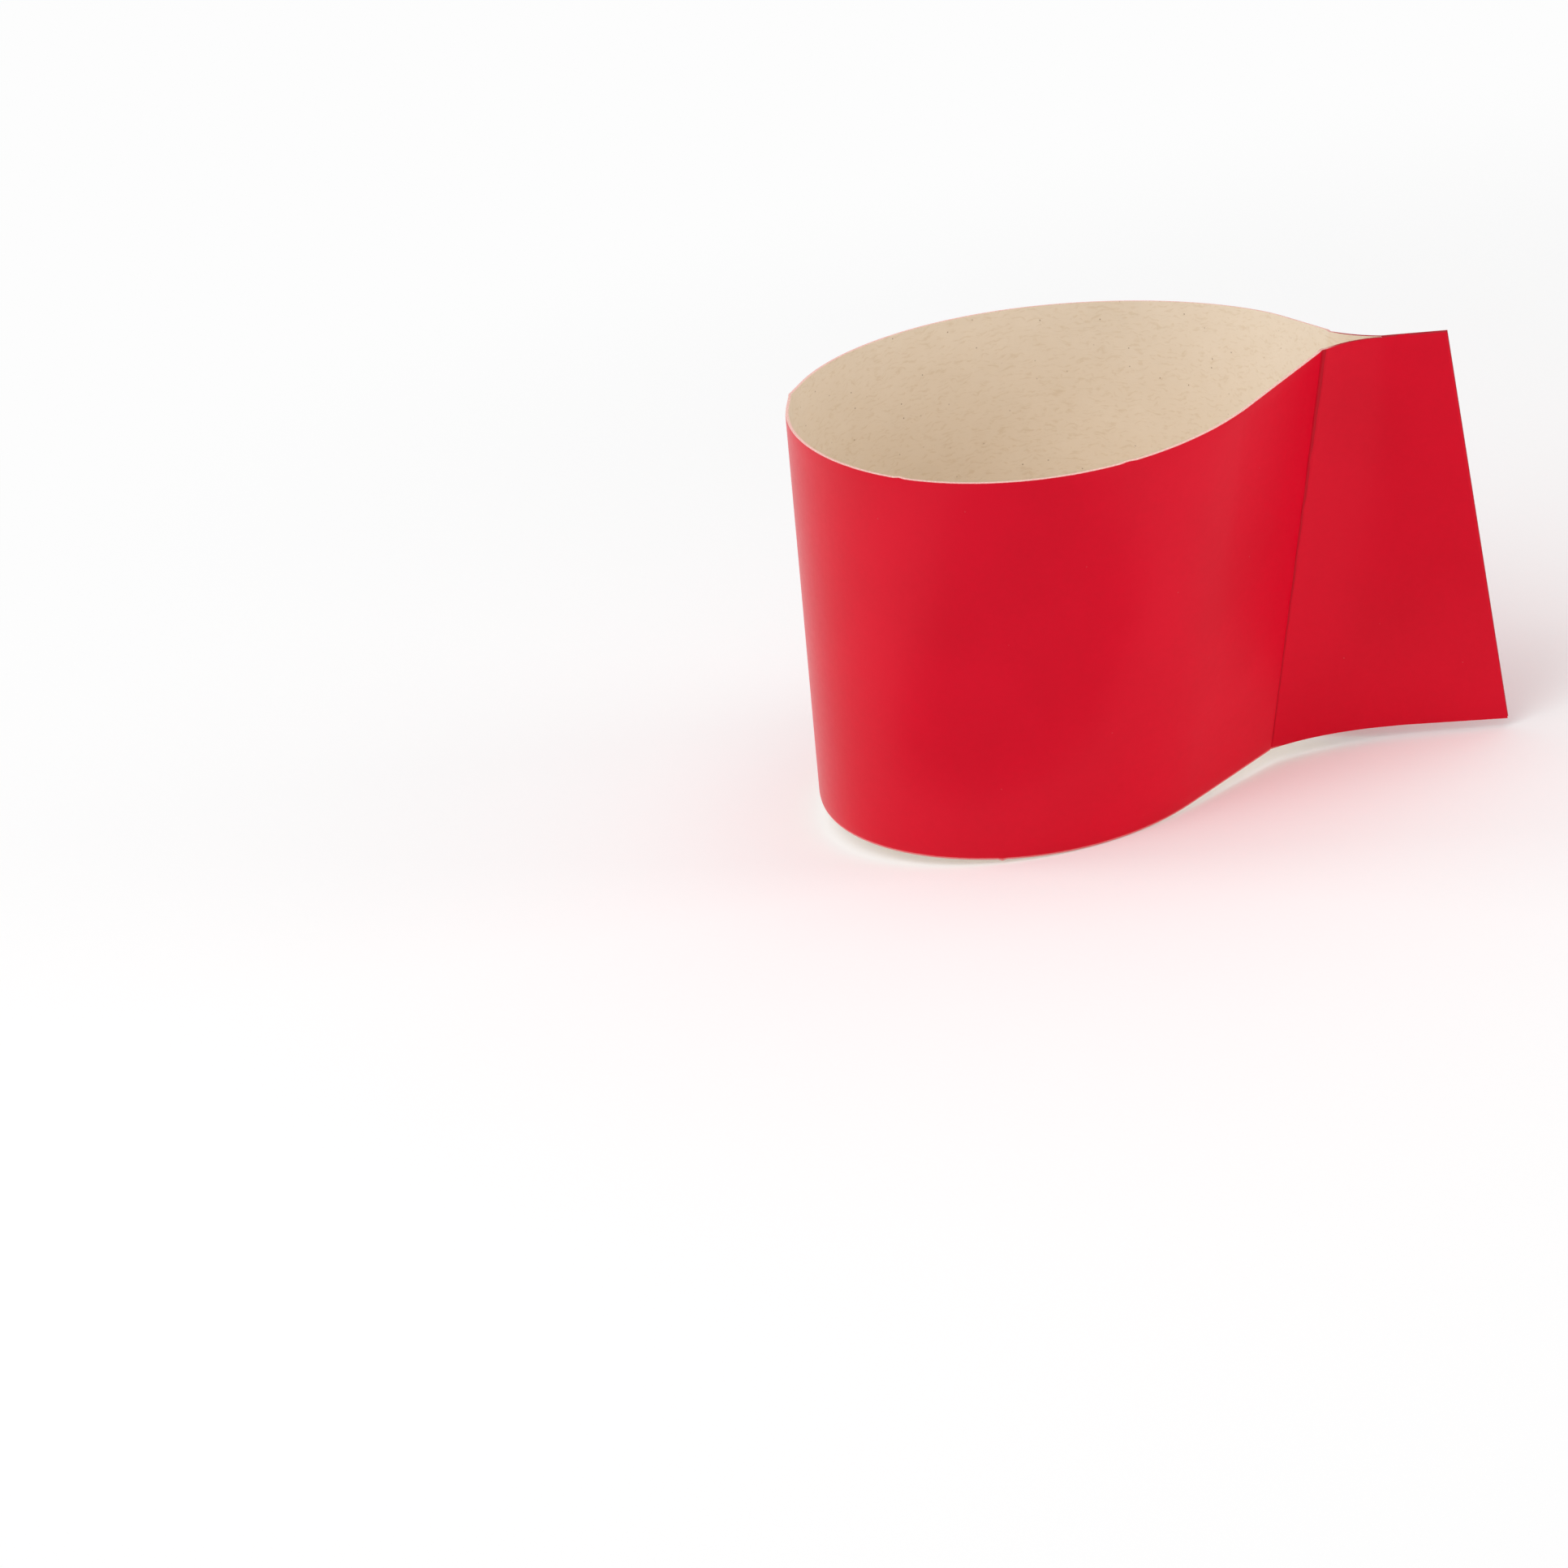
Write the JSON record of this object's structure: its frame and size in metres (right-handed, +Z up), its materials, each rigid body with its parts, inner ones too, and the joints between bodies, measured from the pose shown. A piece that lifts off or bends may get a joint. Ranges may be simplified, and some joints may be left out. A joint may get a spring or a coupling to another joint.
{
  "type": "coffee cup sleeve",
  "caption": "Red card sleeve for a takeaway cup: a folded strip opened into a tapered ring, its ends glued together as a flat handle tab.",
  "frame": {"origin": "middle of the bounding box's base, on the table that the sleeve stands on", "axes": "+Z up as it rests on its lower edge, +X from the fold towards the handle tab, and the sleeve mirrors itself across Y = 0"},
  "size_m": [0.1106, 0.079, 0.0679],
  "materials": {
    "red_card": "satin coated red on the outer face, bare cream board inside and at the cut edges"
  },
  "bodies": {
    "root": {"sleeve": "red_card"}
  },
  "joints": []
}
